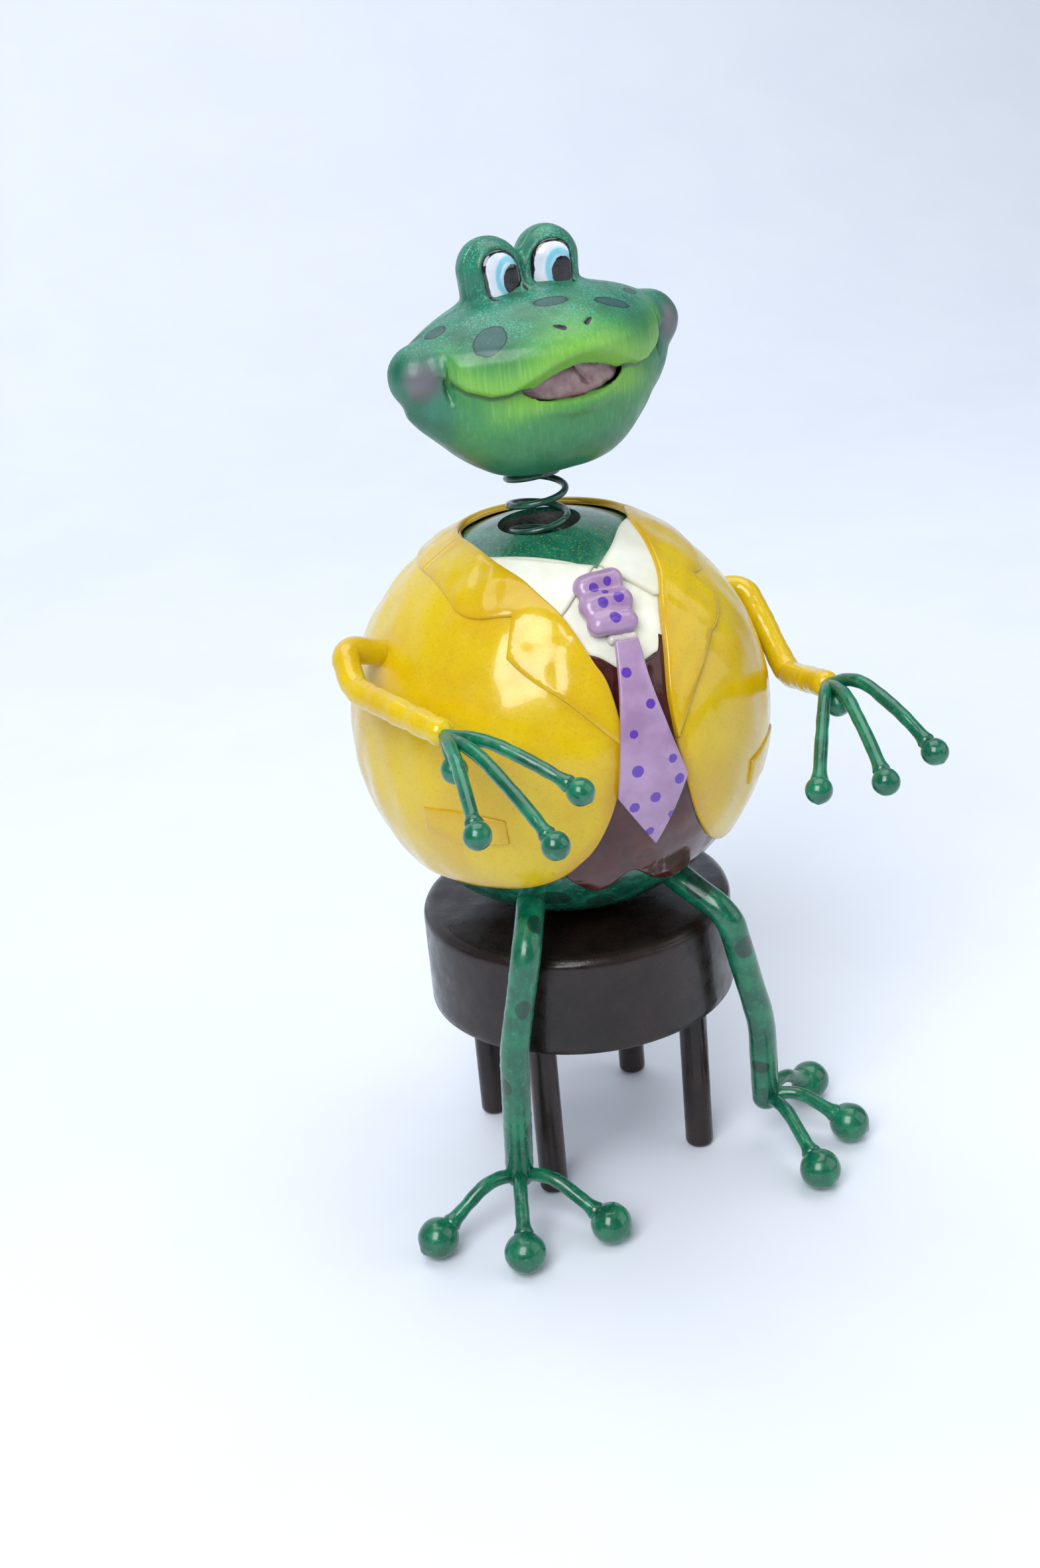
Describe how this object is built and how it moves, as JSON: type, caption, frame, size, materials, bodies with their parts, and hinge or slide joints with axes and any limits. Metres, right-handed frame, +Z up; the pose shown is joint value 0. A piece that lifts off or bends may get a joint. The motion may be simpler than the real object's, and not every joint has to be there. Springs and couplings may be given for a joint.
{
  "type": "nodding frog figurine",
  "caption": "Painted metal frog in a jacket and tie on a round stool, with a cast head that nods on a coil spring.",
  "frame": {"origin": "on the surface the figure stands on, at the middle of its width and of its depth", "axes": "+Z up; the frog looks along -Y; its left hand is on the +X side"},
  "size_m": [0.0948, 0.1068, 0.1805],
  "materials": {
    "body_green": "glossy mottled enamel",
    "limb_green": "glossy mottled enamel",
    "jacket_yellow": "glossy airbrushed enamel",
    "shirt_white": "satin enamel",
    "waistcoat_brown": "glossy enamel",
    "tie_lilac": "satin enamel with violet dots",
    "head_green": "airbrushed satin lacquer on cast resin",
    "mouth_pink": "satin paint on cast resin",
    "eye_white": "glossy hand-painted enamel",
    "spring_green": "thin lacquer on spring wire",
    "plain_steel": "bare steel",
    "stool_brown": "semi-gloss dark brown enamel"
  },
  "bodies": {
    "figure": {"body_top_shell": "body_green", "body_bottom_shell": "body_green", "jacket_right_panel": "jacket_yellow", "jacket_left_panel": "jacket_yellow", "lapel_right": "jacket_yellow", "lapel_left": "jacket_yellow", "jacket_collar": "jacket_yellow", "pocket_flap_right": "jacket_yellow", "pocket_flap_left": "jacket_yellow", "shirt_front": "shirt_white", "shirt_collar_right": "shirt_white", "shirt_collar_left": "shirt_white", "waistcoat": "waistcoat_brown", "tie_knot": "tie_lilac", "tie_blade": "tie_lilac", "arm_right": "jacket_yellow", "arm_left": "jacket_yellow", "right_outer_finger": "limb_green", "right_middle_finger": "limb_green", "right_inner_finger": "limb_green", "right_thumb": "limb_green", "right_fingertip_balls": "limb_green", "left_outer_finger": "limb_green", "left_middle_finger": "limb_green", "left_inner_finger": "limb_green", "left_thumb": "limb_green", "left_fingertip_balls": "limb_green", "leg_right": "limb_green", "leg_left": "limb_green", "right_outer_toe": "limb_green", "right_middle_toe": "limb_green", "right_inner_toe": "limb_green", "right_toe_balls": "limb_green", "left_outer_toe": "limb_green", "left_middle_toe": "limb_green", "left_inner_toe": "limb_green", "left_toe_balls": "limb_green", "spring_cup": "plain_steel", "spring_post": "spring_green", "stool_seat": "stool_brown", "stool_base_plate": "stool_brown", "stool_leg_front_right": "stool_brown", "stool_leg_front_left": "stool_brown", "stool_leg_back_right": "stool_brown", "stool_leg_back_left": "stool_brown", "seat_screw": "plain_steel", "neck_spring_1": "spring_green"},
    "head_bounce": {"neck_spring_2": "spring_green"},
    "head_nod": {"neck_spring_3": "spring_green"},
    "head_sway": {"neck_spring_4": "spring_green"},
    "head": {"head_front_shell": "head_green", "head_back_shell": "head_green", "mouth_lining": "mouth_pink", "eye_right": "eye_white", "eye_left": "eye_white", "head_spigot": "spring_green", "neck_spring_5": "spring_green"}
  },
  "joints": [
    {"name": "bounce", "type": "slide", "parent": "figure", "child": "head_bounce", "axis": [0, 0, 1], "range_m": [-0.003, 0.006], "stiffness_N_per_m": 600, "deforming": ["neck_spring_1", "neck_spring_2", "neck_spring_3", "neck_spring_4", "neck_spring_5"]},
    {"name": "nod", "type": "hinge", "parent": "head_bounce", "child": "head_nod", "pos_m": [-0.0017, 0.01268, 0.13], "axis": [1, 0, 0], "range_deg": [-18, 18], "stiffness_Nm_per_rad": 0.12},
    {"name": "sway", "type": "hinge", "parent": "head_nod", "child": "head_sway", "pos_m": [-0.0017, 0.01268, 0.132], "axis": [0, 1, 0], "range_deg": [-18, 18], "stiffness_Nm_per_rad": 0.12},
    {"name": "turn", "type": "hinge", "parent": "head_sway", "child": "head", "pos_m": [-0.0017, 0.01268, 0.134], "axis": [0, 0, 1], "range_deg": [-35, 35], "stiffness_Nm_per_rad": 0.1}
  ]
}
